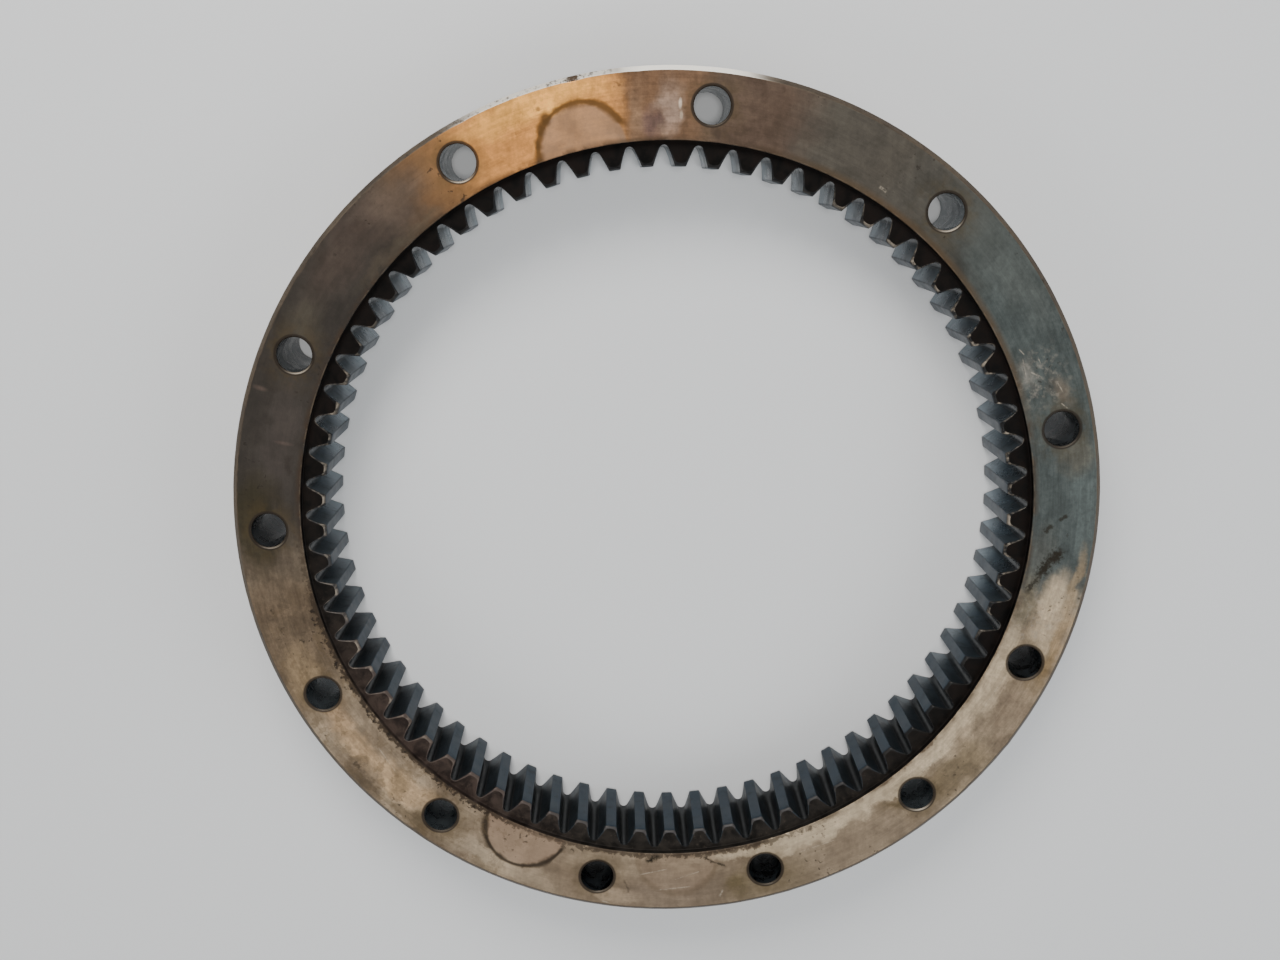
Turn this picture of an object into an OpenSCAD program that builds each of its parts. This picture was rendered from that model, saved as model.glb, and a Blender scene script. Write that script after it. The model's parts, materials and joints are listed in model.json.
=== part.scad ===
// Internal ring gear: one turned steel ring that lies on its back face, with straight
// involute teeth cut on the inside, a shallow turned step in front of the teeth and a
// circle of plain bolt holes at two spacings. All lengths are in millimetres.
// The origin is the centre of the back face. +Z runs along the axis, out of the front
// face, and +Y points to the middle of the widely spaced bolt holes.

/* [Teeth] */
// Number of teeth
teeth = 69; // [48:1:90]
// Module: pitch diameter divided by the number of teeth
tooth_module = 5; // [4:0.25:6]
// Pressure angle of the involute flanks, in degrees
pressure_angle = 20; // [17.5:0.5:25]
// Height of a tooth from the pitch circle in to its tip, in modules
tip_share = 0.7; // [0.6:0.05:1]
// Reach of a flank from the pitch circle out to the rounded root, in modules
flank_share = 1; // [0.8:0.05:1.1]
// Depth of the rounded root beyond the flanks, in modules
root_share = 0.25; // [0.2:0.01:0.3]
// Extra width of a tooth space at the pitch circle, for running play
backlash = 0.1; // [0:0.05:0.4]
// Bevel on the tips of the teeth at both ends
tip_bevel = 1.3; // [0.3:0.1:2.5]
// Angle from +Y to the centre of the first tooth space
tooth_phase = -1.8; // [-2.6:0.1:2.6]

/* [Ring] */
// Thickness from the back face to the front face
ring_t = 51; // [30:1:80]
// Width of the flat front face, from the wall of the step to the outside
face_w = 33.25; // [28:0.25:60]
// Bevel on the outside edge of the front face
front_bevel = 2; // [0.5:0.1:4]
// Bevel on the outside edge of the back face
back_bevel = 1.5; // [0.5:0.1:4]

/* [Front step] */
// Depth of the step, from the front face down to the ends of the teeth
step_depth = 3.8; // [1:0.1:10]
// Width of the floor of the step, from the tooth roots to its wall
step_gap = 2; // [0.5:0.1:5]
// Bevel on the inside edge of the front face
step_bevel = 0.4; // [0.1:0.1:1.5]

/* [Bolt holes] */
// Distance from the outside of the ring to the centres of the bolt holes
bolt_inset = 17; // [14:0.5:18]
// Diameter of a bolt hole
bolt_hole_d = 17; // [9:0.5:19]
// Bevel on both edges of a bolt hole
hole_bevel = 0.5; // [0.1:0.1:1]
// Number of holes in the closely spaced row
close_holes = 8; // [4:1:9]
// Angle between neighbouring holes in the closely spaced row
close_step = 26; // [20:0.5:30]
// Number of holes in the widely spaced row between the ends of the close one
wide_holes = 4; // [2:1:5]

/* [Hidden] */

$fn = 240;
// Amount by which a cutter runs past the surface that it opens
overcut = 1;
// Straight pieces along one flank and round one root
flank_pieces = 6;
root_pieces = 8;

// Radii of the gear, from the base circle of the involute out to the outside
pitch_r = tooth_module * teeth / 2;
base_r = pitch_r * cos(pressure_angle);
tip_r = pitch_r - tip_share * tooth_module;
flank_end_r = pitch_r + flank_share * tooth_module;
root_r = flank_end_r + root_share * tooth_module;
step_r = root_r + step_gap;
outer_r = step_r + face_w;
bolt_circle_r = outer_r - bolt_inset;
tooth_front = ring_t - step_depth;

// Half the angle of a tooth space at the pitch circle
pitch_half_angle = 90 / teeth + (backlash / 2 / pitch_r) * 180 / PI;
// Angle between neighbouring holes of the wide row, which fills what the close row leaves
wide_step = (360 - close_step * (close_holes - 1)) / (wide_holes + 1);

// Involute function of a pressure angle, in degrees
function involute(angle) = tan(angle) * 180 / PI - angle;

// Half the angle of a tooth space at radius r: it narrows outwards along the involute
function space_half_angle(r) =
    pitch_half_angle + involute(pressure_angle) - involute(acos(base_r / r));

// Point of a flank at radius r on one side (-1 or 1), with the space's middle along +X
function flank_point(r, side) =
    [r * cos(space_half_angle(r)), side * r * sin(space_half_angle(r))];

// Radii at which the flank is sampled, from inside the tips out to the rounded root
flank_start_r = tip_r - overcut;
flank_radii = [
    for (i = [0 : flank_pieces])
        flank_start_r + (flank_end_r - flank_start_r) * i / flank_pieces
];

// The rounded root is one arc through the ends of both flanks and the root circle
root_chord_x = flank_point(flank_end_r, 1)[0];
root_half_chord = flank_point(flank_end_r, 1)[1];
root_rise = root_r - root_chord_x;
root_arc_r = (root_half_chord ^ 2 + root_rise ^ 2) / (2 * root_rise);
root_arc_half_angle = 2 * atan(root_rise / root_half_chord);
root_arc = [
    for (i = [1 : root_pieces - 1])
        let (angle = root_arc_half_angle * (2 * i / root_pieces - 1))
            [root_r - root_arc_r * (1 - cos(angle)), root_arc_r * sin(angle)]
];

// Outline of one tooth space: out along one flank, round the root, back along the other
space_outline = concat(
    [for (r = flank_radii) flank_point(r, -1)],
    root_arc,
    [for (i = [flank_pieces : -1 : 0]) flank_point(flank_radii[i], 1)]
);

// Section of the turned blank, from the tips of the teeth to the outside
blank_section = [
    [tip_r + tip_bevel, 0],
    [outer_r - back_bevel, 0],
    [outer_r, back_bevel],
    [outer_r, ring_t - front_bevel],
    [outer_r - front_bevel, ring_t],
    [step_r + step_bevel, ring_t],
    [step_r, ring_t - step_bevel],
    [step_r, tooth_front],
    [tip_r + tip_bevel, tooth_front],
    [tip_r, tooth_front - tip_bevel],
    [tip_r, tip_bevel]
];

// One tooth space, as long as the teeth, with its middle along +X
module tooth_space() {
    translate([0, 0, -overcut])
        linear_extrude(height = tooth_front + 2 * overcut)
            polygon(space_outline);
}

// Section of a bolt hole with both of its edges bevelled
module bolt_hole() {
    hole_r = bolt_hole_d / 2;
    rotate_extrude()
        polygon([
            [0, -overcut],
            [hole_r + hole_bevel + overcut, -overcut],
            [hole_r, hole_bevel],
            [hole_r, ring_t - hole_bevel],
            [hole_r + hole_bevel + overcut, ring_t + overcut],
            [0, ring_t + overcut]
        ]);
}

// Children placed at one angle on the bolt circle
module on_bolt_circle(angle) {
    rotate([0, 0, angle])
        translate([bolt_circle_r, 0, 0])
            children();
}

// The whole gear: the turned blank less its tooth spaces and its bolt holes
module ring_gear() {
    color([0.55, 0.48, 0.40])
        difference() {
            rotate_extrude()
                polygon(blank_section);
            for (i = [0 : teeth - 1])
                rotate([0, 0, 90 + tooth_phase + 360 * i / teeth])
                    tooth_space();
            for (i = [0 : close_holes - 1])
                on_bolt_circle(-90 + close_step * (i - (close_holes - 1) / 2))
                    bolt_hole();
            for (i = [1 : wide_holes])
                on_bolt_circle(90 + wide_step * (i - (wide_holes + 1) / 2))
                    bolt_hole();
        }
}

ring_gear();
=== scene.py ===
import bisect
import json
import math

import bmesh
import bpy
from mathutils import Matrix, Vector, geometry, noise


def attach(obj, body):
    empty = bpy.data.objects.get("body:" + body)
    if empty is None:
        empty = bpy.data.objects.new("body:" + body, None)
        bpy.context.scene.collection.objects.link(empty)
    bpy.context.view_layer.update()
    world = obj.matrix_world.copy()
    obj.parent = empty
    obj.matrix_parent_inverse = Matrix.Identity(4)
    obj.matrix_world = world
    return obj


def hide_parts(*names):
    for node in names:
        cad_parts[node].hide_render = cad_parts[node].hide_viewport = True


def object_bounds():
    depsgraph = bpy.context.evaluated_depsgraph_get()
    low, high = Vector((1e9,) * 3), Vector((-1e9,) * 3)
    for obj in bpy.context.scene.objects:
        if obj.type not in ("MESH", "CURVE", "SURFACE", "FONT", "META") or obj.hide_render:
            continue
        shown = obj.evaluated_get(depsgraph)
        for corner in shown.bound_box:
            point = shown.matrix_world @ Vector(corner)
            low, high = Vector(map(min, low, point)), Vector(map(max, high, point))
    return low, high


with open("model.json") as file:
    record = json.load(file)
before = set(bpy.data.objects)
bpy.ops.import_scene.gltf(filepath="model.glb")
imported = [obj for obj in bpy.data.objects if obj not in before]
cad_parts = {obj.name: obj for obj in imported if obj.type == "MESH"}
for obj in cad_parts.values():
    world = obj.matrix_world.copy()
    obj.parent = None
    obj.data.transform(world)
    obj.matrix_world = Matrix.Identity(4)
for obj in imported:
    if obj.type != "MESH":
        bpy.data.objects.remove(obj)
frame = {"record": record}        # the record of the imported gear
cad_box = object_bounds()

# The toothed bore: straight involute teeth, shaped into the inside of the steel ring.
# Running with oil has left their flanks a dark slate grey, its bluish tint a painted
# reflection, and the edges round the ends of the teeth are worn. Lengths are in
# millimetres until a corner is placed.
mm = 0.001
teeth = 69
tooth_module = 5.0
pressure_angle = math.radians(20)
pitch_r = tooth_module * teeth / 2
base_r = pitch_r * math.cos(pressure_angle)
tip_share = 0.7
root_share = 0.25
tip_r = pitch_r - tip_share * tooth_module
flank_end_r = pitch_r + tooth_module
root_r = flank_end_r + root_share * tooth_module
backlash = 0.1
ring_t = (cad_box[1][2] - cad_box[0][2]) / mm
step_depth = 3.8
tooth_front = ring_t - step_depth
tip_bevel = 1.3
end_chamfer = 0.3        # broken edge round the ends of the teeth
chamfer_belly = 0.3      # how far its middle bulges, as a share of its size
tip_spread = 2.5         # how much more a tip corner is drawn back than the root
tip_ease = 0.4           # rounding of the tip corners along a tooth, and at its ends
end_round = 1.75
knock_depth = 0.45       # uneven wear of the broken edges, as a share of their size
knock_pace = 34
side_shift = 0.02
tooth_bands = 6          # panels along a tooth
pitch_angle = 2 * math.pi / teeth
tooth_phase = -1.8
first_space = math.radians(90 + tooth_phase)
view_turn = math.radians(23.4)   # the gear is turned this far about its axis in the picture

TOOTH, STEP, RIM, HOLE, FACE, BACK = range(6)   # finishes, in the order of the sections
skin_mesh = bpy.data.meshes.new("ring_gear_skin")
corners = []
wear = []
halo = []
panels = []
panel_finish = []


def corner(r, turn, z, rubbed=0.0, near_hole=0.0):
    """One corner of the skin, given round the gear's axis; the answer is its number."""
    corners.append(Vector((r * math.cos(turn), r * math.sin(turn), z)) * mm)
    wear.append(rubbed)
    halo.append(near_hole)
    return len(corners) - 1


def bridge(one, other, finish):
    """A closed band of four-sided panels between two rings with as many corners each."""
    for i in range(len(one)):
        j = (i + 1) % len(one)
        panels.append((one[i], one[j], other[j], other[i]))
        panel_finish.append(finish)


def roughly(seed, turn, pace):
    """A smooth random value from -1 to 1 round the gear, the same on every run."""
    return noise.noise(Vector((math.cos(turn) * pace, math.sin(turn) * pace, seed)))


def involute(angle):
    return math.tan(angle) - angle


def space_half_angle(r):
    """Half the angle of a tooth space at radius r: it narrows outwards."""
    half_pitch = pitch_angle / 4 + backlash / 2 / pitch_r
    return half_pitch + involute(pressure_angle) - involute(math.acos(base_r / r))


root_chord = flank_end_r * math.sin(space_half_angle(flank_end_r))
root_rise = root_r - flank_end_r * math.cos(space_half_angle(flank_end_r))
root_arc_r = (root_chord ** 2 + root_rise ** 2) / (2 * root_rise)
root_arc_half = 2 * math.atan(root_rise / root_chord)


def space_corner(part, share, widen, end_r, ease):
    """Radius and angle of one corner of a tooth space that is widened into the metal."""
    if part == "root":
        x = root_r - root_arc_r + (root_arc_r + widen) * math.cos(root_arc_half * share)
        y = (root_arc_r + widen) * math.sin(root_arc_half * share)
        return math.hypot(x, y), math.atan2(y, x)
    if part == "middle":
        return end_r + widen, pitch_angle / 2
    first_r = end_r + widen + ease
    if part == "flank":
        r = first_r + (flank_end_r - first_r) * share
        spread = tip_spread - (tip_spread - 1) * share
        return r, space_half_angle(r) + widen * spread / base_r
    r = first_r - ease * (1 - (1 - share) ** 2)
    return r, space_half_angle(r) + (tip_spread * widen + ease * share ** 2) / base_r


half_space = [("root", 0), ("root", 0.3), ("root", 0.65)]
half_space += [("flank", share) for share in (1, 0.86, 0.68, 0.5, 0.32, 0.16, 0.05)]
half_space += [("tip", share) for share in (0, 0.3, 0.6, 1)] + [("middle", 0)]
one_pitch = [(-1, *place) for place in half_space[:0:-1]]
one_pitch += [(1, *place) for place in half_space[:-1]]
end_wear = {"root": 0.35, "flank": 0.42, "tip": 1.0, "middle": 1.0}
side_wear = {"root": 0.0, "flank": 0.0, "tip": 0.1, "middle": 0.0}


def tooth_ring(z, from_end, drawn_back):
    """The tooth outline at height z; near an end the tips are bevelled and drawn back."""
    near_end = max(0.0, 1 - from_end / tip_bevel)
    end_r = tip_r + tip_bevel * near_end
    ease = tip_ease + (end_round - tip_ease) * near_end
    at_end = end_wear if from_end <= end_chamfer else side_wear
    ring = []
    for i in range(teeth):
        space_turn = first_space + i * pitch_angle
        for side, part, share in one_pitch:
            uneven = roughly(z, space_turn + side_shift * side, knock_pace)
            widen = drawn_back * (1 + knock_depth * uneven)
            r, a = space_corner(part, share, widen, end_r, ease)
            ring.append(corner(r, space_turn + side * a, z, at_end[part]))
    return ring


chamfer_middle = chamfer_belly * end_chamfer
chamfer_rows = [(0.0, end_chamfer), (chamfer_middle, chamfer_middle), (end_chamfer, 0.0),
                (tip_bevel, 0.0)]
back_rows = [tooth_ring(d, d, back) for d, back in chamfer_rows]
middle_rows = [tooth_ring(tooth_front * k / tooth_bands, tip_bevel, 0.0)
               for k in range(1, tooth_bands)]
front_rows = [tooth_ring(tooth_front - d, d, back) for d, back in chamfer_rows[::-1]]
tooth_rows = back_rows + middle_rows + front_rows
for lower, upper in zip(tooth_rows, tooth_rows[1:]):
    bridge(lower, upper, TOOTH)


def put(tree, kind, inputs=None, **settings):
    """A node with its settings and inputs filled in; an output given as input is linked."""
    made = tree.nodes.new(kind)
    for name, value in settings.items():
        setattr(made, name, value)
    for key, value in (inputs or {}).items():
        if isinstance(value, bpy.types.NodeSocket):
            tree.links.new(value, made.inputs[key])
        else:
            made.inputs[key].default_value = value
    return made


def calc(tree, operation, *values, clamp=False):
    made = put(tree, "ShaderNodeMath", dict(enumerate(values)),
               operation=operation, use_clamp=clamp)
    return made.outputs[0]


def times(tree, one, other, clamp=False):
    return calc(tree, "MULTIPLY", one, other, clamp=clamp)


def plus(tree, one, other):
    return calc(tree, "ADD", one, other)


def minus(tree, one, other):
    return calc(tree, "SUBTRACT", one, other)


def larger(tree, one, other):
    return calc(tree, "MAXIMUM", one, other)


def moved(tree, operation, one, other):
    """A sum on places; to scale a place, the other value is a number."""
    key = "Scale" if operation == "SCALE" else 1
    made = put(tree, "ShaderNodeVectorMath", {0: one, key: other}, operation=operation)
    return made.outputs[0]


def combined(tree, x, y, z=0.0):
    return put(tree, "ShaderNodeCombineXYZ", {0: x, 1: y, 2: z}).outputs[0]


def carried(tree, name):
    """A value that the corners of the skin carry: how worn, with painted highlights on some hole
    mouths, or how near a hole.
    """
    return put(tree, "ShaderNodeAttribute", attribute_name=name).outputs["Fac"]


def grade(tree, value, low, high, to_low=0.0, to_high=1.0):
    """A smooth change from to_low to to_high as value goes from low to high."""
    made = put(tree, "ShaderNodeMapRange", {0: value, 1: low, 2: high, 3: to_low, 4: to_high},
               interpolation_type="SMOOTHSTEP")
    return made.outputs[0]


def blend_colour(tree, share, under, over, how="MIX"):
    made = put(tree, "ShaderNodeMix", {0: share, 6: under, 7: over},
               data_type="RGBA", blend_type=how)
    return made.outputs[2]


def grain(tree, place, size, detail=4.0, rough=0.55, warp=0.0):
    """Noise from 0 to 1 with features about this many millimetres across."""
    made = put(tree, "ShaderNodeTexNoise", {
        "Vector": place, "Scale": 1 / size, "Detail": detail, "Roughness": rough,
        "Distortion": warp})
    return made.outputs[0]


def colour(red, green, blue):
    """A colour given as it looks on a screen, 0 to 255."""
    def linear(level):
        level /= 255
        return level / 12.92 if level <= 0.04045 else ((level + 0.055) / 1.055) ** 2.4
    return (linear(red), linear(green), linear(blue), 1.0)


def start_finish(name):
    """A new finish: its node tree, its shader and the place on the gear in millimetres."""
    made = bpy.data.materials.new(name)
    made.use_nodes = True
    tree = made.node_tree
    shader = tree.nodes["Principled BSDF"]
    spot = put(tree, "ShaderNodeTexCoord").outputs["Object"]
    place = moved(tree, "SCALE", spot, 1 / mm)
    skin_mesh.materials.append(made)
    return tree, shader, place


def polar(tree, place):
    """Angle in the picture's degrees, radius and height of a place on the gear."""
    parts = put(tree, "ShaderNodeSeparateXYZ", {0: place})
    x, y, z = parts.outputs
    angle = calc(tree, "ARCTAN2", y, x)
    angle = calc(tree, "DEGREES", minus(tree, angle, view_turn))
    radius = calc(tree, "SQRT", plus(tree, times(tree, x, x), times(tree, y, y)))
    return angle, radius, z


def bumpy(tree, shader, height, distance, strength):
    made = put(tree, "ShaderNodeBump", {
        "Height": height, "Distance": distance * mm, "Strength": strength})
    tree.links.new(made.outputs[0], shader.inputs["Normal"])


def rubbed_share(tree, place, size, low, high):
    """How bright an edge is rubbed: the edge itself, broken up by noise."""
    edge = carried(tree, "wear")
    broken = grade(tree, grain(tree, place, size, 3.0), low, high)
    return times(tree, edge, broken, clamp=True)


def turn_from(tree, angle, middle):
    """Degrees from the middle angle, the short way round."""
    return calc(tree, "WRAP", minus(tree, angle, middle), 180.0, -180.0)


def sector(tree, angle, middle, half, feather):
    """Share of the gear within half degrees of the middle angle, in the picture's angles."""
    away = calc(tree, "ABSOLUTE", turn_from(tree, angle, middle))
    return grade(tree, away, half - feather, half + feather, 1.0, 0.0)


# Finish of the teeth: dark slate steel with lines along the teeth and worn bevels round the ends.
# Painted light and shade: a reflection makes the backs of the flanks lighter, the roots are
# darker, and the worn bevels are brighter at the sides of the picture and darker at its top.
tree, shader, place = start_finish("tooth_steel")
angle, radius, height = polar(tree, place)
along = combined(tree, times(tree, angle, 3.0), radius, times(tree, height, 0.03))
lines = grain(tree, along, 0.5, 3.0)
cloud = grain(tree, place, 12, 5.0, 0.6)
# painted reflection: the backs of the flanks are painted a lighter slate, most of all in the lower
# part of the picture, darkening towards the front
lower_sector = sector(tree, angle, 260, 72, 22)
from_back = plus(tree, height, grade(tree, cloud, 0.3, 0.7, -5.0, 5.0))
cloudy = grade(tree, cloud, 0.3, 0.7)
painted_bright = blend_colour(tree, cloudy, colour(98, 114, 125), colour(136, 152, 163))
film = blend_colour(tree, cloudy, colour(26, 31, 35), colour(44, 52, 58))
base_share = blend_colour(tree, lower_sector, grade(tree, from_back, 8, tooth_front - 8, 0.05, 0.9),
                      grade(tree, from_back, -4, 14, 0.7, 1.0))
slate = blend_colour(tree, base_share, painted_bright, film)
slate = blend_colour(tree, grade(tree, lines, 0.42, 0.75, 0.0, 0.2), slate, colour(92, 102, 108))
land = grade(tree, radius, tip_r + 0.3, tip_r + 1.0, 0.9, 0.0)
land_tint = blend_colour(tree, cloud, colour(20, 29, 37), colour(46, 61, 73))
slate = blend_colour(tree, land, slate, land_tint)
oil = grade(tree, grain(tree, place, 6, 5.0, 0.65), 0.5, 0.7, 0.0, 0.5)
slate = blend_colour(tree, oil, slate, colour(28, 27, 26))
# painted highlight: a light line where the flanks meet the roots
root_line = calc(tree, "ABSOLUTE", minus(tree, radius, flank_end_r - 0.3))
root_line = grade(tree, root_line, 0.1, 0.45, 0.4, 0.0)
slate = blend_colour(tree, root_line, slate, colour(118, 113, 108))
# painted shade: the roots darken towards their bottom
root_shade = grade(tree, radius, flank_end_r - 2.0, root_r, 0.0, 0.75)
slate = blend_colour(tree, root_shade, slate, colour(22, 20, 19))
# painted light: the rubbed edges round the ends are bright at the sides of the picture and dull at
# its top
lit_side = larger(tree, sector(tree, angle, 22, 40, 18),
                     times(tree, sector(tree, angle, 185, 38, 20), 0.7))
end_edge = carried(tree, "wear")
reddish = sector(tree, angle, 225, 24, 14)
end_tint = blend_colour(tree, reddish, colour(68, 65, 64), colour(84, 71, 64))
# painted shade: outside the lower part of the picture the chamfers round the ends are nearly black
end_tint = blend_colour(tree, sector(tree, angle, 245, 58, 20), colour(20, 16, 13), end_tint)
oily_edge = minus(tree, end_edge, times(tree, sector(tree, angle, 278, 34, 14), 0.24))
at_end = grade(tree, oily_edge, 0.12, 0.45, 0.0, 0.85)
slate = blend_colour(tree, at_end, slate, end_tint)
rubbed = rubbed_share(tree, place, 3.5, 0.42, 0.66)
slate = blend_colour(tree, times(tree, rubbed, grade(tree, lit_side, 0, 1, 0.02, 0.75)),
                     slate, colour(162, 150, 134))
tree.links.new(slate, shader.inputs["Base Color"])
dulled = times(tree, larger(tree, land, at_end), 0.5)
tree.links.new(minus(tree, 0.6, dulled), shader.inputs["Metallic"])
shader.inputs["Specular IOR Level"].default_value = 0.3
dull = plus(tree, times(tree, lower_sector, 0.12), times(tree, land, 0.12))
dull = plus(tree, grade(tree, cloud, 0.3, 0.7, 0.24, 0.38), dull)
tree.links.new(dull, shader.inputs["Roughness"])
bumpy(tree, shader, lines, 0.02, 0.6)

# The front step: a shallow turned recess in front of the teeth. The ends of the teeth lie
# flush with its floor, and old oil has dried dark brown on the floor and up the wall.
step_gap = 2.0
step_bevel = 0.4
step_r = root_r + step_gap
floor_fillet = 0.5
edge_ease = 0.15
edge_rows = 6            # rows on the eased edge of the face, above the wall of the step
floor_shares = (0.35, 0.7)   # rows on the floor, between the teeth and the wall
oiled_to = tooth_front + 1   # nothing is rubbed bright up to this height
step_nicks = ((3.1, 60, 0.06), (7.7, 150, 0.05))   # seed, pace and depth


def eased(section, ease):
    """A turned section with each inner corner rounded: (radius, height, how rubbed)."""
    rounded = [(section[0][0], section[0][1], 0.0)]
    for before, at, after, size in zip(section, section[1:], section[2:], ease):
        if not size:
            rounded.append((*at, 0.0))
            continue
        at = Vector(at)
        start = at + (Vector(before) - at).normalized() * size
        end = at + (Vector(after) - at).normalized() * size
        middle = (start + end + 2 * at) / 4
        rounded += [(*start, 0.5), (*middle, 1.0), (*end, 0.5)]
    rounded.append((section[-1][0], section[-1][1], 0.0))
    return rounded


def nicked(turn, nicks):
    """How far an edge stands out or in at this angle."""
    return sum(depth * roughly(seed, turn, pace) for seed, pace, depth in nicks)


tooth_ends = [corners[number].xy / mm for number in front_rows[-1]]
turns = [math.atan2(end.y, end.x) for end in tooth_ends]
step_rows = [front_rows[-1]]
for share in floor_shares:
    row = []
    for end, a in zip(tooth_ends, turns):
        width = step_r - floor_fillet - end.length
        row.append(corner(end.length + width * share, a, tooth_front))
    step_rows.append(row)
step_section = [
    (step_r - 2 * floor_fillet, tooth_front),
    (step_r, tooth_front),
    (step_r, ring_t - step_bevel),
    (step_r + step_bevel, ring_t),
    (step_r + step_bevel + 2 * edge_ease, ring_t),
]
for r, z, rubbed in eased(step_section, (floor_fillet, edge_ease, edge_ease))[1:]:
    dry = rubbed if z > oiled_to else 0.0
    row = []
    for a in turns:
        row.append(corner(r + dry * nicked(a, step_nicks), a, z, dry))
    step_rows.append(row)
for number, (lower, upper) in enumerate(zip(step_rows, step_rows[1:])):
    bridge(lower, upper, STEP if number < len(step_rows) - edge_rows else FACE)

# Finish of the step and the tooth ends: steel under a dried film of dark brown oil, redder
# at its lower left, with painted shade making it nearly black round the top of the picture.
tree, shader, place = start_finish("step_steel")
angle, radius, height = polar(tree, place)
film = grain(tree, place, 7, 6.0, 0.62, 0.5)
# painted shade: outside the lower part of the picture the film is nearly black; below it is
# painted as lit
lit_below = sector(tree, angle, 252, 58, 30)
uneven = grade(tree, film, 0.32, 0.68)
shaded_film = blend_colour(tree, uneven, colour(6, 5, 4), colour(20, 14, 11))
lit_film = blend_colour(tree, uneven, colour(21, 19, 17), colour(44, 40, 36))
red_film = blend_colour(tree, uneven, colour(34, 27, 24), colour(66, 55, 49))
lit_film = blend_colour(tree, sector(tree, angle, 225, 22, 14), lit_film, red_film)
brown = blend_colour(tree, lit_below, shaded_film, lit_film)
flecks = grade(tree, grain(tree, place, 1.6, 4.0), 0.58, 0.75, 0.0, 0.25)
brown = blend_colour(tree, times(tree, flecks, lit_below), brown, colour(92, 82, 72))
tree.links.new(brown, shader.inputs["Base Color"])
shader.inputs["Metallic"].default_value = 0.1
shader.inputs["Specular IOR Level"].default_value = 0.15
tree.links.new(grade(tree, film, 0.3, 0.7, 0.45, 0.7), shader.inputs["Roughness"])
bumpy(tree, shader, film, 0.12, 0.6)

# The outside of the ring: a plain rim of turned steel under a brown oil film, with a broad
# bevel at the front edge and a smaller one at the back. The front bevel is knocked and
# chipped in places; its edges are rubbed, darkened by painted shade, and painted bright
# white as a highlight at the picture's top.
face_w = 33.25
outer_r = step_r + face_w
front_bevel = 2.0
back_bevel = 1.5
rim_ease = 0.25
rim_flat = 3 * rim_ease  # strip left flat beside an eased edge
rim_count = teeth * 12
rim_nicks = ((11.3, 40, 0.07), (5.9, 120, 0.05))   # seed, pace and depth
chip_in = 0.6            # how a chip's depth is shared between the rim and the face
chip_down = 0.4
chip_reach = front_bevel + 1
flat_share = 0.3         # how much of a chip shows between the rubbed edges
rim_turns = [2 * math.pi * i / rim_count for i in range(rim_count)]
big_chip = 102.2
# angle in the picture, width in degrees, depth
chips = ((big_chip, 1.0, 0.9), (94, 0.7, 0.4), (117, 0.9, 0.5), (71, 0.5, 0.4),
         (232, 0.8, 0.5), (318, 0.7, 0.5))
burrs = ((-34.1, 0.6, 0.9), (-36.0, 0.4, 0.3))
rim_section = [
    (outer_r - front_bevel - rim_flat, ring_t),
    (outer_r - front_bevel, ring_t),
    (outer_r, ring_t - front_bevel),
    (outer_r, ring_t - front_bevel - rim_flat),
    (outer_r, ring_t * 2 / 3),
    (outer_r, ring_t / 3),
    (outer_r, back_bevel + rim_flat),
    (outer_r, back_bevel),
    (outer_r - back_bevel, 0.0),
    (outer_r - back_bevel - rim_flat, 0.0),
]


def lump(turn, places):
    """How far the named places lift or sink the edge at this angle of the picture."""
    total = 0.0
    for degrees, width, depth in places:
        away = math.remainder(turn - view_turn - math.radians(degrees), 2 * math.pi)
        total += depth * math.exp(-(math.degrees(away) / width) ** 2)
    return total


rim_rows = []
for r, z, rubbed in eased(rim_section, (rim_ease, rim_ease, 0, 0, 0, 0, rim_ease, rim_ease)):
    row = []
    near_front = max(0.0, 1 - (ring_t - z) / chip_reach)
    near_front *= flat_share + (1 - flat_share) * rubbed
    for a in rim_turns:
        sunk = lump(a, chips) - lump(a, burrs)
        out = r + rubbed * nicked(a, rim_nicks) - near_front * chip_in * sunk
        down = z - near_front * chip_down * max(0.0, sunk)
        row.append(corner(out, a, down, rubbed))
    rim_rows.append(row)
for number, (lower, upper) in enumerate(zip(rim_rows, rim_rows[1:])):
    finish = RIM if number < len(rim_rows) - 2 else BACK
    bridge(lower, upper, finish if number else FACE)


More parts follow.
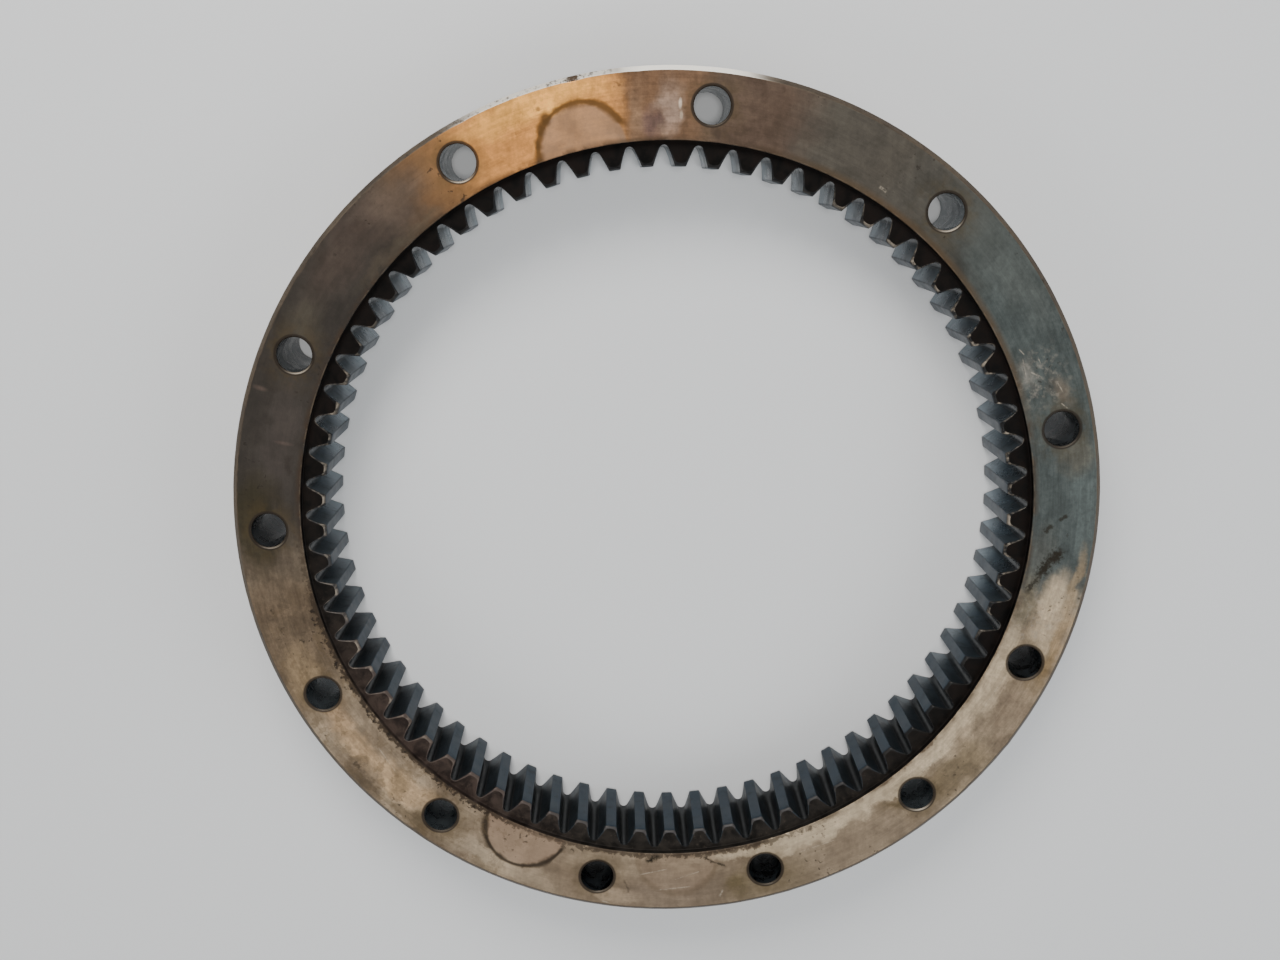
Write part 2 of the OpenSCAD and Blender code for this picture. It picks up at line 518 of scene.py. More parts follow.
def turned_steel(name, dark, light, lines_across):
    """Turned steel with a brown oil film; its edges are rubbed and darkened by painted shade, with
    a painted highlight on the front bevel at the picture's top.
    """
    tree, shader, place = start_finish(name)
    angle, radius, height = polar(tree, place)
    across = radius if lines_across else height
    marks = grain(tree, combined(tree, across, times(tree, angle, 0.03)), 0.7, 3.0)
    cloud = grain(tree, place, 20, 6.0, 0.6, 0.3)
    fine = grain(tree, place, 2.2, 5.0, 0.65)
    stains_and_light = blend_colour(tree, grade(tree, cloud, 0.32, 0.68), dark, light)
    ridges = grade(tree, marks, 0.4, 0.7, 0.0, 0.25)
    stains_and_light = blend_colour(tree, ridges, stains_and_light, colour(160, 146, 128))
    stains_and_light = blend_colour(tree, grade(tree, fine, 0.45, 0.7, 0.0, 0.5), stains_and_light, colour(48, 38, 29))
    edge = rubbed_share(tree, place, 7.0, 0.28, 0.42)
    front = grade(tree, height, ring_t / 2 - 1, ring_t / 2 + 1)
    specked = grade(tree, fine, 0.5, 0.68, 0.66, 0.3)
    # painted highlight: near the top of the picture the front bevel is painted bright, nearly
    # white, over its rubbed places
    painted_bright = larger(tree, sector(tree, angle, 88, 9, 4),
                  times(tree, sector(tree, angle, 106, 12, 5), specked))
    painted_bright = times(tree, painted_bright, front)
    lit = grade(tree, carried(tree, "wear"), 0.1, 0.45)
    # painted shade: the eased edges are darkened, as bevels turned from the light
    stains_and_light = blend_colour(tree, times(tree, lit, 0.6), stains_and_light, colour(46, 40, 34))
    edge_tint = blend_colour(tree, painted_bright, colour(126, 110, 90), colour(254, 249, 238))
    rub_and_glint = times(tree, times(tree, lit, edge), grade(tree, painted_bright, 0, 1, 0.25, 2.4), clamp=True)
    stains_and_light = blend_colour(tree, rub_and_glint, stains_and_light, edge_tint)
    torn = plus(tree, angle, grade(tree, fine, 0.3, 0.7, -0.6, 0.6))
    chipped = times(tree, sector(tree, torn, big_chip, 0.7, 0.35), times(tree, lit, front))
    stains_and_light = blend_colour(tree, chipped, stains_and_light, colour(70, 54, 38))
    tree.links.new(stains_and_light, shader.inputs["Base Color"])
    tree.links.new(minus(tree, 0.35, times(tree, rub_and_glint, 0.35)), shader.inputs["Metallic"])
    shader.inputs["Specular IOR Level"].default_value = 0.35
    tree.links.new(grade(tree, cloud, 0.3, 0.75, 0.38, 0.58), shader.inputs["Roughness"])
    bumpy(tree, shader, plus(tree, marks, fine), 0.05, 0.6)


turned_steel("rim_steel", colour(62, 52, 43), colour(112, 97, 80), lines_across=False)

# The bolt holes: plain drilled holes through the ring with their edges broken, at two
# spacings round one circle. Their walls are dark with oil, and the steel round their
# mouths is stained brown; some mouths have a painted highlight on their lower edge.
hole_sides = 56
hole_bevel = 0.5
hole_ease = 0.18
mouth_flat = 3 * hole_ease   # flat ring round a mouth, where the face's triangles begin
halo_rings = ((1.2, 0.9), (3.5, 0.6), (7.0, 0.25))   # distance and strength of a stain
least_bright = 0.12
# mouths painted with a highlight on their lower edge
# angle in the picture, width in degrees, brightness
bright_mouths = ((119.6, 5, 1.0), (154.7, 5, 0.8), (309.3, 5, 1.0), (48, 5, 1.0), (178, 5, 0.5))
crescent_turn = 0.25         # where the bright crescent of a mouth lies, and how short it is
crescent_power = 6
wall_rows = (5, 6, 7)        # the bands of a hole that are its wall and back edge
holes = []
for mount in frame["record"]["mounts"]:
    if mount["kind"] == "bolt_pattern":
        spread = mount["dims"]["spacing_x_mm"] / 2
        hole_r = mount["dims"]["hole_r_mm"]
        holes += [(side * spread, mount["pos_m"][1] / mm, hole_r) for side in (-1, 1)]


def flat_corner(x, y, z, rubbed=0.0, near_hole=0.0):
    return corner(math.hypot(x, y), math.atan2(y, x), z, rubbed, near_hole)


hole_fronts = []
hole_backs = []
halo_corners = []
for x, y, hole_r in holes:
    mouth = hole_r + hole_bevel
    brightness = least_bright + lump(math.atan2(y, x), bright_mouths)
    hole_section = [
        (mouth + mouth_flat, ring_t),
        (mouth, ring_t),
        (hole_r, ring_t - hole_bevel),
        (hole_r, hole_bevel),
        (mouth, 0.0),
        (mouth + mouth_flat, 0.0),
    ]
    rows = []
    for r, z, rubbed in eased(hole_section, (hole_ease,) * 4):
        row = []
        for i in range(hole_sides):
            a = 2 * math.pi * i / hole_sides
            near = 1.0 if z > ring_t / 2 else 0.0
            # painted highlight: a bright crescent on the lower edge of the brighter mouths,
            # carried with the wear
            lower_side = max(0.0, -math.sin(a - view_turn - crescent_turn))
            rub_and_glint = min(1.0, rubbed * lower_side ** crescent_power * brightness)
            row.append(flat_corner(x + r * math.cos(a), y + r * math.sin(a), z, rub_and_glint, near))
        rows.append(row)
    for number, (lower, upper) in enumerate(zip(rows, rows[1:])):
        finish = FACE if number < wall_rows[0] else BACK
        bridge(lower, upper, HOLE if number in wall_rows else finish)
    hole_fronts.append(rows[0])
    hole_backs.append(rows[-1])
    for away, strength in halo_rings:
        for i in range(hole_sides // 2):
            a = 2 * math.pi * i / (hole_sides // 2)
            r = mouth + mouth_flat + away
            spot = Vector((x + r * math.cos(a), y + r * math.sin(a)))
            halo_corners.append(flat_corner(spot.x, spot.y, ring_t, 0.0, strength))

# Finish of the bolt holes: drilled walls with rings left by the drill, dark with oil; painted
# light and reflection make the walls of the upper holes and of two others lighter.
tree, shader, place = start_finish("hole_steel")
angle, radius, height = polar(tree, place)
drilled = grain(tree, moved(tree, "MULTIPLY", place, (0.04, 0.04, 1.0)), 1.4, 3.0)
film = grain(tree, place, 6, 4.0)
oiled = blend_colour(tree, grade(tree, film, 0.38, 0.62), colour(12, 13, 14), colour(60, 66, 71))
# painted light and reflection: the walls of these holes are painted a lighter blue-grey
lit_wall = blend_colour(tree, film, colour(84, 92, 97), colour(132, 141, 146))
lit_holes = larger(tree, times(tree, sector(tree, angle, 220, 20, 6), 0.55),
               times(tree, sector(tree, angle, 309, 8, 3), 0.6))
wall = blend_colour(tree, larger(tree, sector(tree, angle, 84, 62, 22), lit_holes), oiled, lit_wall)
wall = blend_colour(tree, grade(tree, drilled, 0.45, 0.75, 0.0, 0.12), wall, colour(140, 142, 140))
tree.links.new(wall, shader.inputs["Base Color"])
shader.inputs["Metallic"].default_value = 0.7
tree.links.new(grade(tree, film, 0.3, 0.7, 0.22, 0.36), shader.inputs["Roughness"])
bumpy(tree, shader, drilled, 0.02, 0.5)

# The two flat faces: each is one broad face of turned and ground steel between the bore and
# the outside, with the bolt holes through it. They are filled with triangles between the
# rings made above.
front_bands = 6          # bands between the rings of loose corners on the front face
front_count = 230        # loose corners in one ring on the front face, and on the back
back_count = 200
back_rings = 4
back_first = 5           # first ring on the back beyond the roots, and the next ones
back_pace = 7
weld_within = 1e-6
hole_room = 10           # how clear of a hole the loose corners of a face stay
hole_edge = 0.996        # share of a mouth's radius inside which a triangle is in the hole


def radius_along(ring):
    """A function that gives a ring's radius at an angle, between its corners too."""
    places = sorted((math.atan2(*corners[n].yx), corners[n].xy.length / mm) for n in ring)
    ring_turns = [a for a, r in places]

    def radius_at(turn):
        place = bisect.bisect(ring_turns, turn) % len(places)
        (start, start_r), (end, end_r) = places[place - 1], places[place]
        gone = math.remainder(turn - start, 2 * math.pi)
        share = gone / math.remainder(end - start, 2 * math.pi)
        return start_r + (end_r - start_r) * share

    return radius_at


def fill_face(inner, outer, rings, loose, finish):
    """Triangles between two rings, clear of the holes; loose corners refine the fill."""
    numbers = []
    edges = []
    for ring in [inner, outer] + rings:
        start = len(numbers)
        numbers += ring
        count = len(ring)
        edges += [(start + i, start + (i + 1) % count) for i in range(count)]
    numbers += loose
    flat = [corners[n].xy / mm for n in numbers]
    made = geometry.delaunay_2d_cdt(flat, edges, [], 0, weld_within)
    inner_at, outer_at = radius_along(inner), radius_along(outer)
    source = [numbers[first[0]] for first in made[3]]
    for triangle in made[2]:
        middle = sum((made[0][i] for i in triangle), Vector((0, 0))) / 3
        turn = math.atan2(middle.y, middle.x)
        in_hole = any(math.hypot(middle.x - x, middle.y - y)
                      < (r + hole_bevel + mouth_flat) * hole_edge for x, y, r in holes)
        if inner_at(turn) < middle.length < outer_at(turn) and not in_hole:
            panels.append(tuple(source[i] for i in triangle))
            panel_finish.append(finish)


def loose_rows(radii, count, z):
    """Loose corners in rings on a flat face, left out where they would crowd a hole."""
    found = []
    for k, r in enumerate(radii):
        for i in range(count):
            a = 2 * math.pi * (i + k / 2) / count
            x, y = r * math.cos(a), r * math.sin(a)
            if all(math.hypot(x - hx, y - hy) > hr + hole_room for hx, hy, hr in holes):
                found.append(flat_corner(x, y, z))
    return found


front_radii = [step_r + face_w * k / front_bands for k in range(1, front_bands)]
front_loose = loose_rows(front_radii, front_count, ring_t) + halo_corners
fill_face(step_rows[-1], rim_rows[0], hole_fronts, front_loose, FACE)
back_radii = [root_r + back_first + back_pace * k for k in range(back_rings)]
back_loose = loose_rows(back_radii, back_count, 0.0)
fill_face(back_rows[0], rim_rows[-1], hole_backs, back_loose, BACK)

# Finish of the front face: ground steel under old oil, tan where the film is thin and
# nearly black where it is thick. The film lies in soft patches, with stains round the
# bolt holes, arcs rubbed by bolted-on parts, drips, scratches and pits. Some patches are
# painted light: reflections, orange near the top and grey-blue on the right, and pale
# highlights near the top; some hole mouths have painted highlights on their lower edges.
tree, shader, place = start_finish("face_steel")
seen = put(tree, "ShaderNodeVectorRotate", {"Vector": place, "Angle": -view_turn},
           rotation_type="Z_AXIS").outputs[0]
wander = put(tree, "ShaderNodeTexNoise", {
    "Vector": place, "Scale": 1 / 20, "Detail": 6.0, "Roughness": 0.62}).outputs["Color"]
wander = moved(tree, "SCALE", moved(tree, "SUBTRACT", wander, (0.5, 0.5, 0.5)), 24.0)
bent = moved(tree, "ADD", place, wander)
angle, radius, height = polar(tree, bent)
true_angle, true_radius, height = polar(tree, place)
blotch = grain(tree, bent, 11, 6.0, 0.6)
cloud = grain(tree, place, 30, 5.0, 0.55)
fine = grain(tree, place, 1.8, 5.0, 0.65)
drips = grain(tree, moved(tree, "MULTIPLY", seen, (1.0, 0.16, 1.0)), 3.5, 4.0, 0.6)
swept = combined(tree, true_radius, times(tree, true_angle, 0.45))
smears = grain(tree, swept, 2.6, 5.0, 0.62)

soft_patch = bpy.data.node_groups.new("soft_patch", "ShaderNodeTree")
for name in ("angle", "radius", "middle", "half_angle", "middle_r", "half_width", "feather"):
    soft_patch.interface.new_socket(name, in_out="INPUT", socket_type="NodeSocketFloat")
soft_patch.interface.new_socket("share", in_out="OUTPUT", socket_type="NodeSocketFloat")
given = put(soft_patch, "NodeGroupInput").outputs
away = turn_from(soft_patch, given["angle"], given["middle"])
away = calc(soft_patch, "DIVIDE", away, given["half_angle"])
out = minus(soft_patch, given["radius"], given["middle_r"])
out = calc(soft_patch, "DIVIDE", out, given["half_width"])
far = plus(soft_patch, times(soft_patch, away, away), times(soft_patch, out, out))
far = minus(soft_patch, calc(soft_patch, "SQRT", far), 1.0)
far = calc(soft_patch, "DIVIDE", far, given["feather"])
put(soft_patch, "NodeGroupOutput", {0: grade(soft_patch, far, -1.0, 1.0, 1.0, 0.0)})


def patch(middle, half_angle, middle_r, half_width, feather):
    """Share of a soft patch, used for film and for painted light; angles are the picture's, radii
    shares of the outside.
    A patch under a degree keeps its outline, a larger one wanders with the noise."""
    small = half_angle < 1
    return put(tree, "ShaderNodeGroup", {
        "angle": true_angle if small else angle, "radius": true_radius if small else radius,
        "middle": middle, "half_angle": half_angle, "middle_r": middle_r * outer_r,
        "half_width": half_width * outer_r, "feather": feather,
    }, node_tree=soft_patch).outputs[0]


cloudy = grade(tree, cloud, 0.32, 0.68)
stains_and_light = blend_colour(tree, cloudy, colour(118, 102, 84), colour(152, 135, 113))
films_and_glare = (
    # middle, half angle, radius, half width, feather, colour, strength
    # painted reflections: the grey-blue patches on the right, in this row, the next two and the
    # row at 15 degrees
    (22, 34, 0.92, 0.5, 0.1, colour(72, 78, 76), 1.0),
    (38, 9, 0.95, 0.05, 0.6, colour(85, 89, 85), 0.6),
    (4, 8, 0.96, 0.04, 0.6, colour(84, 92, 90), 0.6),
    (48, 10, 0.86, 0.04, 0.6, colour(56, 53, 46), 0.8),
    (66, 20, 0.92, 0.5, 0.4, colour(73, 69, 62), 0.95),
    (79, 7, 0.92, 0.5, 0.6, colour(88, 69, 56), 0.8),
    # painted reflection: the orange glow of a warm lamp near the top, in this row and the one at
    # 108 degrees
    (110, 18, 0.92, 0.5, 0.3, colour(206, 141, 76), 1.0),
    (126, 7, 0.95, 0.5, 0.6, colour(112, 86, 60), 0.75),
    (108, 9, 0.965, 0.03, 0.6, colour(252, 182, 92), 0.85),
    (91, 6.0, 0.92, 0.4, 0.35, colour(112, 84, 62), 0.95),
    # painted highlights: the pale streaks near 90 degrees, in this row and the last two rows
    (90.4, 1.3, 0.905, 0.05, 0.9, colour(186, 160, 142), 0.6),
    (92.6, 1.2, 0.88, 0.03, 0.8, colour(96, 76, 76), 0.6),
    (94.5, 1.0, 0.90, 0.05, 0.8, colour(150, 122, 96), 0.4),
    (157, 31, 0.92, 0.5, 0.3, colour(54, 49, 44), 1.0),
    (168, 8, 0.90, 0.04, 0.6, colour(70, 63, 58), 0.7),
    (181, 7, 0.95, 0.05, 0.5, colour(50, 44, 26), 0.7),
    (134, 8, 0.863, 0.014, 0.6, colour(84, 74, 60), 0.5),
    (138, 9, 0.94, 0.05, 0.8, colour(82, 69, 60), 0.55),
    (130.5, 4, 0.94, 0.05, 0.7, colour(116, 97, 82), 0.35),
    (151, 3, 0.93, 0.04, 0.7, colour(80, 74, 62), 0.5),
    (198, 9, 0.92, 0.5, 0.5, colour(81, 66, 50), 0.8),
    (171.5, 1.2, 0.878, 0.008, 0.6, colour(34, 26, 20), 0.3),
    (161.6, 0.25, 0.968, 0.012, 0.9, colour(112, 92, 82), 0.35),
    (168.4, 0.22, 0.892, 0.016, 0.9, colour(104, 86, 78), 0.35),
    (205, 5, 0.94, 0.04, 0.6, colour(150, 128, 98), 0.6),
    (211, 3, 0.925, 0.03, 0.6, colour(150, 118, 90), 0.35),
    (240, 4, 0.955, 0.03, 0.6, colour(180, 162, 138), 0.65),
    (216, 6, 0.925, 0.025, 0.6, colour(176, 147, 112), 0.7),
    (226, 6, 0.92, 0.03, 0.6, colour(184, 155, 120), 0.75),
    (225.8, 1.1, 0.92, 0.05, 0.7, colour(112, 94, 68), 0.5),
    (231, 4, 0.97, 0.02, 0.5, colour(84, 70, 50), 0.7),
    (236.5, 2.0, 0.945, 0.04, 0.6, colour(94, 80, 60), 0.4),
    (222, 2.5, 0.975, 0.015, 0.6, colour(70, 58, 42), 0.6),
    (247, 6, 0.958, 0.025, 0.6, colour(172, 154, 130), 0.6),
    (243, 2.5, 0.978, 0.012, 0.6, colour(82, 68, 46), 0.45),
    (262, 5, 0.965, 0.02, 0.6, colour(190, 168, 140), 0.65),
    (270, 9, 0.95, 0.05, 0.6, colour(124, 109, 94), 0.5),
    (286, 6, 0.955, 0.05, 0.5, colour(98, 86, 64), 0.6),
    (302, 12, 0.955, 0.05, 0.5, colour(122, 107, 90), 0.6),
    (312, 35, 0.862, 0.026, 0.14, colour(186, 168, 142), 0.95),
    (296, 9, 0.888, 0.012, 0.4, colour(188, 170, 144), 0.7),
    (330, 10, 0.880, 0.030, 0.4, colour(184, 165, 138), 0.75),
    (317, 7, 0.945, 0.04, 0.5, colour(98, 84, 60), 0.65),
    (309, 3, 0.905, 0.012, 0.6, colour(88, 74, 50), 0.7),
    (338, 3, 0.955, 0.03, 0.5, colour(110, 92, 62), 0.7),
    (345, 6.5, 0.93, 0.04, 0.4, colour(188, 168, 140), 0.8),
    (341, 6, 0.972, 0.018, 0.6, colour(140, 116, 84), 0.6),
    (354.5, 4, 0.872, 0.025, 0.7, colour(92, 91, 84), 0.5),
    (346.4, 4.2, 0.866, 0.021, 0.6, colour(98, 90, 74), 0.9),
    (351, 4, 0.972, 0.015, 0.6, colour(150, 130, 102), 0.7),
    (22.5, 2.2, 0.878, 0.02, 0.7, colour(140, 134, 124), 0.45),
    (15, 5, 0.94, 0.04, 0.6, colour(60, 66, 62), 0.5),
    (18.5, 2.0, 0.93, 0.02, 0.7, colour(132, 112, 92), 0.35),
    (9, 2.5, 0.945, 0.03, 0.7, colour(104, 92, 72), 0.35),
    (280.6, 1.8, 0.950, 0.025, 0.7, colour(88, 76, 48), 0.6),
    (106.8, 0.8, 0.927, 0.014, 0.5, colour(84, 56, 24), 0.9),
    (107.9, 0.6, 0.908, 0.014, 0.5, colour(88, 60, 28), 0.85),
    (109.0, 0.4, 0.882, 0.012, 0.5, colour(96, 68, 34), 0.7),
    (107.4, 0.3, 0.952, 0.005, 0.5, colour(96, 68, 40), 0.7),
    (88.7, 0.22, 0.921, 0.010, 0.5, colour(226, 206, 186), 0.8),
    (88.5, 0.22, 0.897, 0.008, 0.5, colour(206, 184, 160), 0.7),
)
for middle, half_angle, middle_r, half_width, feather, tint, strength in films_and_glare:
    share = times(tree, patch(middle, half_angle, middle_r, half_width, feather), strength)
    stains_and_light = blend_colour(tree, share, stains_and_light, tint)
marks = grain(tree, combined(tree, true_radius, times(tree, true_angle, 0.06)), 0.7, 3.0)
dried = grain(tree, bent, 15, 3.0, 0.5)
calm = 1.0
calm_sectors = ((150, 32, 0.6), (58, 24, 0.4), (272, 36, 0.35))   # middle, half, how much
for middle, half, less in calm_sectors:
    calm = minus(tree, calm, times(tree, sector(tree, true_angle, middle, half, 10), less))
patterns = (
    # pattern, its low and high level, the change of tone at each
    (blotch, 0.3, 0.7, -0.16, 0.12),
    (drips, 0.35, 0.7, 0.07, -0.12),
    (smears, 0.32, 0.68, -0.14, 0.12),
    (fine, 0.3, 0.72, -0.14, 0.12),
    (marks, 0.3, 0.7, -0.06, 0.06),
    (dried, 0.48, 0.53, -0.07, 0.07),
)
for pattern, low, high, at_low, at_high in patterns:
    tone = grade(tree, pattern, low, high, at_low, at_high)
    tone = calc(tree, "MULTIPLY_ADD", tone, calm, 1.0)
    stains_and_light = blend_colour(tree, 1.0, stains_and_light, combined(tree, tone, tone, tone), "MULTIPLY")

near = carried(tree, "halo")
ragged = times(tree, near, grade(tree, grain(tree, place, 6, 4.0), 0.35, 0.62, 0.1, 1.0))
stains_and_light = blend_colour(tree, times(tree, ragged, 0.42), stains_and_light, colour(78, 64, 38))

grooves = 0.0
arcs = (
    # middle, its radius, radius of the arc, strength, open side, where it opens, colour
    (102.8, 0.847, 0.098, 1.0, -1, 0.882, colour(88, 60, 26)),
    (246.5, 0.845, 0.1014, 1.0, 1, 0.862, colour(38, 28, 17)),
    (272.0, 0.855, 0.098, 0.3, 1, 0.88, colour(84, 66, 44)),
)
arc_inside = blend_colour(tree, blotch, colour(122, 101, 84), colour(160, 134, 112))
for middle, middle_r, arc_r, strength, open_side, open_r, tint in arcs:
    turn = math.radians(middle) + view_turn
    centre = Vector((math.cos(turn), math.sin(turn), 0)) * middle_r * outer_r
    away = moved(tree, "SUBTRACT", place, (centre.x, centre.y, ring_t))
    far = put(tree, "ShaderNodeVectorMath", {0: away}, operation="LENGTH").outputs["Value"]
    inside = grade(tree, far, (arc_r - 0.008) * outer_r, arc_r * outer_r, 0.65 * strength, 0.0)
    stains_and_light = blend_colour(tree, inside, stains_and_light, arc_inside)
    off = calc(tree, "ABSOLUTE", minus(tree, far, arc_r * outer_r))
    thick = grade(tree, grain(tree, place, 9, 3.0), 0.35, 0.65, 1.0, 2.6)
    line = grade(tree, calc(tree, "DIVIDE", off, thick), 0.2, 1.4, strength, 0.0)
    beside = times(tree, turn_from(tree, true_angle, middle), open_side)
    outside = grade(tree, true_radius, (open_r - 0.01) * outer_r, (open_r + 0.01) * outer_r)
    closed = larger(tree, grade(tree, beside, 0.0, 3.0, 1.0, 0.0), outside)
    line = times(tree, line, closed)
    stains_and_light = blend_colour(tree, times(tree, line, 0.9), stains_and_light, tint)
    grooves = plus(tree, grooves, line)

grime = grade(tree, true_radius, step_r + 0.4, step_r + 3.5, 0.7, 0.0)
grime = times(tree, grime, grade(tree, blotch, 0.4, 0.6, 0.1, 1.0))
stains_and_light = blend_colour(tree, grime, stains_and_light, colour(60, 46, 32))
smudges = grade(tree, grain(tree, bent, 7, 6.0, 0.7), 0.53, 0.58, 0.0, 0.4)
smudges = times(tree, smudges, sector(tree, true_angle, 220, 26, 8))
stains_and_light = blend_colour(tree, smudges, stains_and_light, colour(92, 76, 54))
crust = plus(tree, grain(tree, place, 2.4, 5.0, 0.65),
             grade(tree, true_radius, step_r, step_r + 7, 0.17, -0.14))
crusted = larger(tree, sector(tree, true_angle, 218, 30, 10),
                 times(tree, sector(tree, true_angle, 272, 24, 10), 0.75))
crust = times(tree, grade(tree, crust, 0.56, 0.61, 0.0, 0.85), crusted)
stains_and_light = blend_colour(tree, crust, stains_and_light, colour(46, 36, 26))
pits = grade(tree, grain(tree, place, 2.4, 2.0, 0.4), 0.64, 0.70)
pitted = times(tree, sector(tree, true_angle, 215, 30, 15),
               grade(tree, true_radius, step_r + 2, step_r + 7, 1.0, 0.0))
pitted = larger(tree, grade(tree, cloud, 0.52, 0.66, 0.0, 0.7), pitted)
pits = times(tree, pits, pitted)
stains_and_light = blend_colour(tree, times(tree, pits, 0.9), stains_and_light, colour(34, 27, 20))
seen_x, seen_y = put(tree, "ShaderNodeSeparateXYZ", {0: seen}).outputs[:2]


def drawn_mark(start_x, start_y, end_x, end_y, width, core, ragged):
    """Share of a straight mark on the face that fades at its ends, in the picture's mm."""
    length = math.hypot(end_x - start_x, end_y - start_y)
    way_x, way_y = (end_x - start_x) / length, (end_y - start_y) / length
    from_x = minus(tree, seen_x, start_x)
    from_y = minus(tree, seen_y, start_y)
    along = plus(tree, times(tree, from_x, way_x), times(tree, from_y, way_y))
    across = minus(tree, times(tree, from_x, way_y), times(tree, from_y, way_x))
    across = plus(tree, calc(tree, "ABSOLUTE", across),
                  grade(tree, fine, 0.3, 0.7, -ragged * width, ragged * width))
    middle = calc(tree, "ABSOLUTE", minus(tree, along, length / 2))
    line = grade(tree, across, core * width, width, 1.0, 0.0)
    return times(tree, line, grade(tree, middle, 0.3 * length, 0.5 * length, 1.0, 0.0))


dark_marks = (
    # start x, start y, end x, end y, half width, strength
    (179.0, -39.4, 191.4, -21.3, 2.6, 0.85),
    (184.0, -29.8, 197.6, -14.4, 4.2, 1.0),
    (186.4, -7.3, 191.2, -3.1, 1.8, 0.8),
    (193.4, -1.1, 198.1, 1.9, 1.8, 0.8),
    (-10.4, -185.8, -2.5, -181.4, 2.1, 1.0),
    (19.9, -182.1, 25.6, -186.0, 1.4, 0.85),
    (24.2, -185.0, 32.9, -188.3, 1.0, 0.75),
    (-21.6, -195.0, -18.4, -204.2, 1.0, 0.4),
    (-185.2, -62.2, -182.0, -63.4, 1.3, 0.75),
    (-198.8, -46.2, -196.8, -48.8, 1.0, 0.65),
    (-160.8, -128.4, -157.2, -132.0, 1.8, 0.55),
)
for start_x, start_y, end_x, end_y, width, strength in dark_marks:
    line = drawn_mark(start_x, start_y, end_x, end_y, width, 0.0, 0.4)
    stains_and_light = blend_colour(tree, times(tree, line, strength), stains_and_light, colour(34, 29, 19))
scratches = (
    # start x, start y, end x, end y, half width
    (170, 80, 173, 69, 0.3),
    (174, 73, 181, 70, 0.4),
    (187, 69, 191, 63, 0.4),
    (177, 81, 180, 75, 0.3),
    (168, 84, 171, 81, 0.4),
    (190, 58, 194, 55, 0.4),
    (97.5, 160, 101.5, 157, 0.9),
    (60, -184, 92, -172, 0.25),
    (128, -140, 150, -116, 0.3),
    (160, -104, 176, -76, 0.3),
    (-148, -120, -138, -136, 0.25),
    (28.6, -206.6, 31.2, -201.2, 0.7),
    (-33.6, -207.8, -28.7, -209.4, 0.5),
    (-6.4, -202.2, 14.9, -199.6, 0.4),
    (3.6, -196.4, 20.6, -190.2, 0.4),
    (-14.0, -193.0, 2.0, -189.5, 0.35),
)
broken = grade(tree, fine, 0.4, 0.6, 0.04, 0.4)
for start_x, start_y, end_x, end_y, width in scratches:
    line = drawn_mark(start_x, start_y, end_x, end_y, width, 0.4, 0.0)
    stains_and_light = blend_colour(tree, times(tree, line, broken), stains_and_light, colour(190, 178, 160))
scuffs = grade(tree, grain(tree, place, 3.4, 5.0, 0.62), 0.48, 0.68)
scuffed = larger(tree, patch(21, 4, 0.9, 0.05, 0.6), patch(345, 5, 0.9, 0.05, 0.6))
scuffs = times(tree, scuffs, scuffed)
stains_and_light = blend_colour(tree, times(tree, scuffs, 0.42), stains_and_light, colour(152, 144, 132))
warm_edge = times(tree, sector(tree, true_angle, 44, 27, 8),
                  grade(tree, true_radius, step_r + 0.6, step_r + 4.5, 0.45, 0.0))
stains_and_light = blend_colour(tree, warm_edge, stains_and_light, colour(90, 70, 46))
edge_line = rubbed_share(tree, place, 5.0, 0.4, 0.62)
edge_line = times(tree, edge_line, minus(tree, 1.0, crusted))
stains_and_light = blend_colour(tree, times(tree, edge_line, 0.32), stains_and_light, colour(138, 120, 98))
mouth = grade(tree, near, 0.93, 1.0)
stains_and_light = blend_colour(tree, times(tree, mouth, 0.88), stains_and_light, colour(38, 31, 24))
# painted highlight: the bright crescents on the lower edges of some hole mouths
mouth_edge = times(tree, mouth, carried(tree, "wear"))
stains_and_light = blend_colour(tree, times(tree, mouth_edge, 0.9), stains_and_light, colour(214, 200, 180))
tree.links.new(stains_and_light, shader.inputs["Base Color"])
shader.inputs["Metallic"].default_value = 0.25
shader.inputs["Specular IOR Level"].default_value = 0.3
tree.links.new(grade(tree, blotch, 0.3, 0.75, 0.38, 0.62), shader.inputs["Roughness"])
dents = minus(tree, times(tree, marks, 0.25), plus(tree, pits, grooves))
bumpy(tree, shader, plus(tree, dents, times(tree, fine, 0.5)), 0.09, 0.7)

# Finish of the back: turned steel as on the rim, with its lines round the axis.
turned_steel("back_steel", colour(84, 72, 60), colour(134, 118, 98), lines_across=True)

# The whole ring: the bands and faces above share their corners, so they make one closed
# skin of steel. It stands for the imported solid, on the gear's one body.
skin_mesh.from_pydata(corners, [], panels)
skin_mesh.polygons.foreach_set("material_index", panel_finish)
skin_mesh.polygons.foreach_set("use_smooth", [True] * len(panels))
skin_mesh.attributes.new("wear", "FLOAT", "POINT").data.foreach_set("value", wear)
skin_mesh.attributes.new("halo", "FLOAT", "POINT").data.foreach_set("value", halo)
shell = bmesh.new()
shell.from_mesh(skin_mesh)
bmesh.ops.recalc_face_normals(shell, faces=shell.faces)
shell.to_mesh(skin_mesh)
shell.free()
skin = bpy.data.objects.new("ring_gear_skin", skin_mesh)
bpy.context.scene.collection.objects.link(skin)
even = skin.modifiers.new("even_normals", "WEIGHTED_NORMAL")
even.keep_sharp = True
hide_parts("ring_gear")
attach(skin, "root")

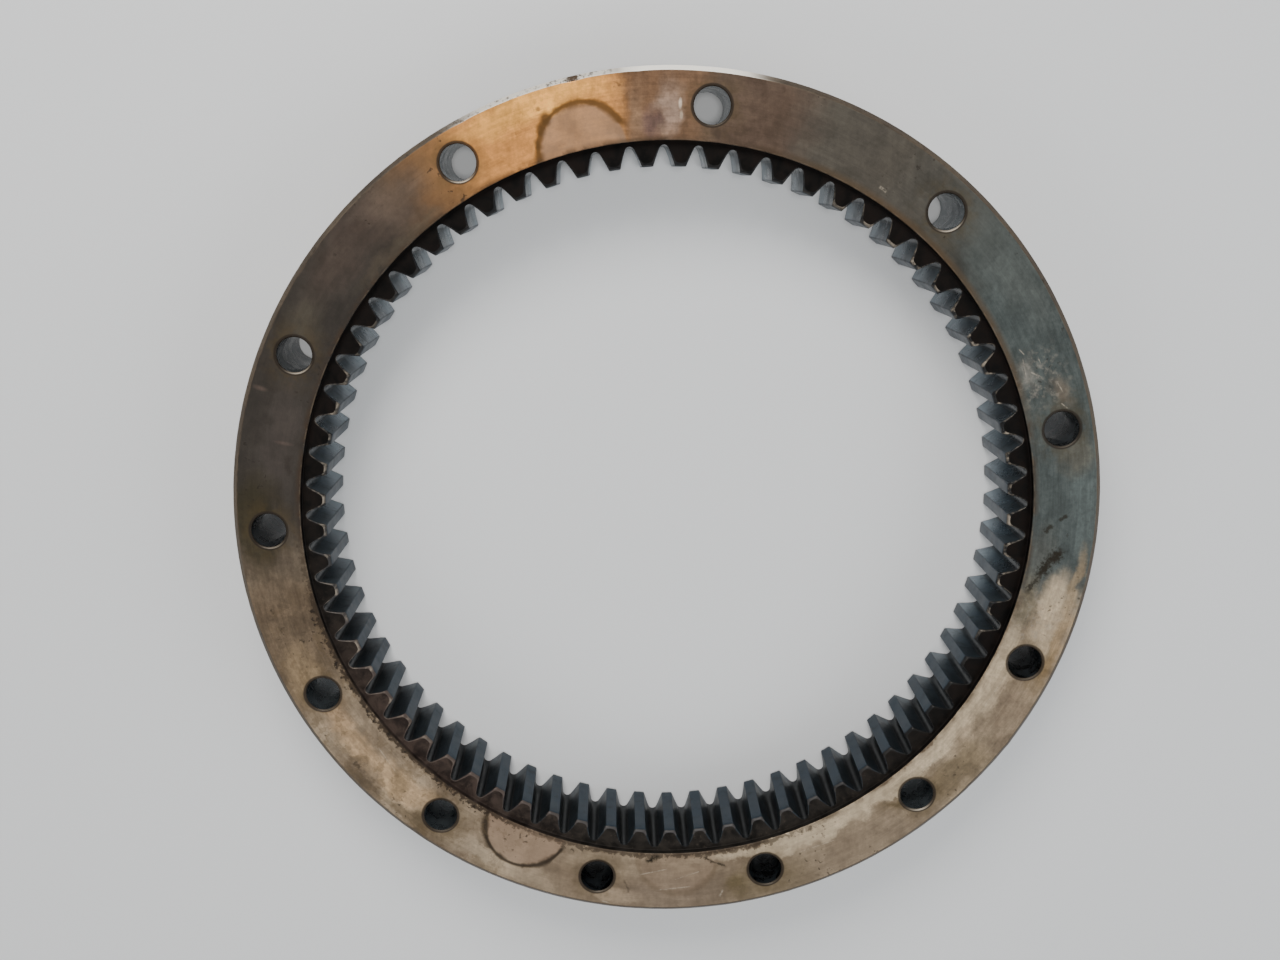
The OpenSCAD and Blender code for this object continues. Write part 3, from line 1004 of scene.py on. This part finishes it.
# The studio: a pale floor under the gear, one lamp high over it, a soft one beyond the
# picture's top edge and two weaker ones at its sides. Places are given in the picture's
# own directions.
picture = Matrix.Rotation(view_turn, 4, "Z")
floor_size = 30.0
floor_grey = (0.72, 0.73, 0.74, 1)
sky_tint = (0.88, 0.94, 1.0, 1)
sky_strength = 0.27
bpy.ops.mesh.primitive_plane_add(size=floor_size, location=(0, 0, 0))
floor = bpy.context.object
floor.name = "floor"
floor_paint = bpy.data.materials.new("floor_paint")
floor_paint.use_nodes = True
floor_shader = floor_paint.node_tree.nodes["Principled BSDF"]
floor_shader.inputs["Base Color"].default_value = floor_grey
floor_shader.inputs["Roughness"].default_value = 0.6
floor.data.materials.append(floor_paint)


def soft_lamp(name, place, size, power, tint):
    data = bpy.data.lights.new(name, "AREA")
    data.shape = "DISK"
    data.size = size
    data.energy = power
    data.color = tint
    made = bpy.data.objects.new(name, data)
    made.location = picture @ Vector(place)
    made.rotation_euler = (-made.location).to_track_quat("-Z", "Y").to_euler()
    bpy.context.scene.collection.objects.link(made)
    return made


high_lamp = soft_lamp("high_lamp", (0.0, 0.15, 3.0), 0.5, 40, (1.0, 0.99, 0.97))
high_lamp.visible_glossy = False
soft_lamp("top_lamp", (-0.25, 1.0, 1.0), 0.7, 14, (1.0, 0.97, 0.93))
soft_lamp("side_lamp", (1.1, -0.4, 1.0), 1.0, 6, (0.95, 0.98, 1.0))
soft_lamp("low_lamp", (-0.9, -0.9, 1.1), 1.0, 5, (1.0, 0.98, 0.95))
sky = bpy.data.worlds.new("studio")
sky.use_nodes = True
sky_light = sky.node_tree.nodes["Background"]
sky_light.inputs["Color"].default_value = sky_tint
sky_light.inputs["Strength"].default_value = sky_strength
bpy.context.scene.world = sky

# The camera looks down on the gear as the picture does: near its axis, a little towards
# the picture's top edge, with the lens and the shift that the picture's framing needs.
image_w = 1280
lens_pixels = 1404
optic_axis = Vector((623.9, 523.0))
image_middle = Vector((640.0, 480.0))
camera_place = Vector((-25.2, 166.4, 672.6 + ring_t)) * mm
camera_pan = math.radians(0.32)
camera_tilt = math.radians(14.04)
camera_data = bpy.data.cameras.new("camera")
camera_data.sensor_width = 36
camera_data.lens = lens_pixels * camera_data.sensor_width / image_w
camera_data.shift_x = (image_middle.x - optic_axis.x) / image_w
camera_data.shift_y = (optic_axis.y - image_middle.y) / image_w
camera = bpy.data.objects.new("camera", camera_data)
bpy.context.scene.collection.objects.link(camera)
camera_aim = Matrix.Rotation(-camera_pan, 4, "Y") @ Matrix.Rotation(-camera_tilt, 4, "X")
camera.matrix_world = picture @ Matrix.Translation(camera_place) @ camera_aim
bpy.context.scene.camera = camera
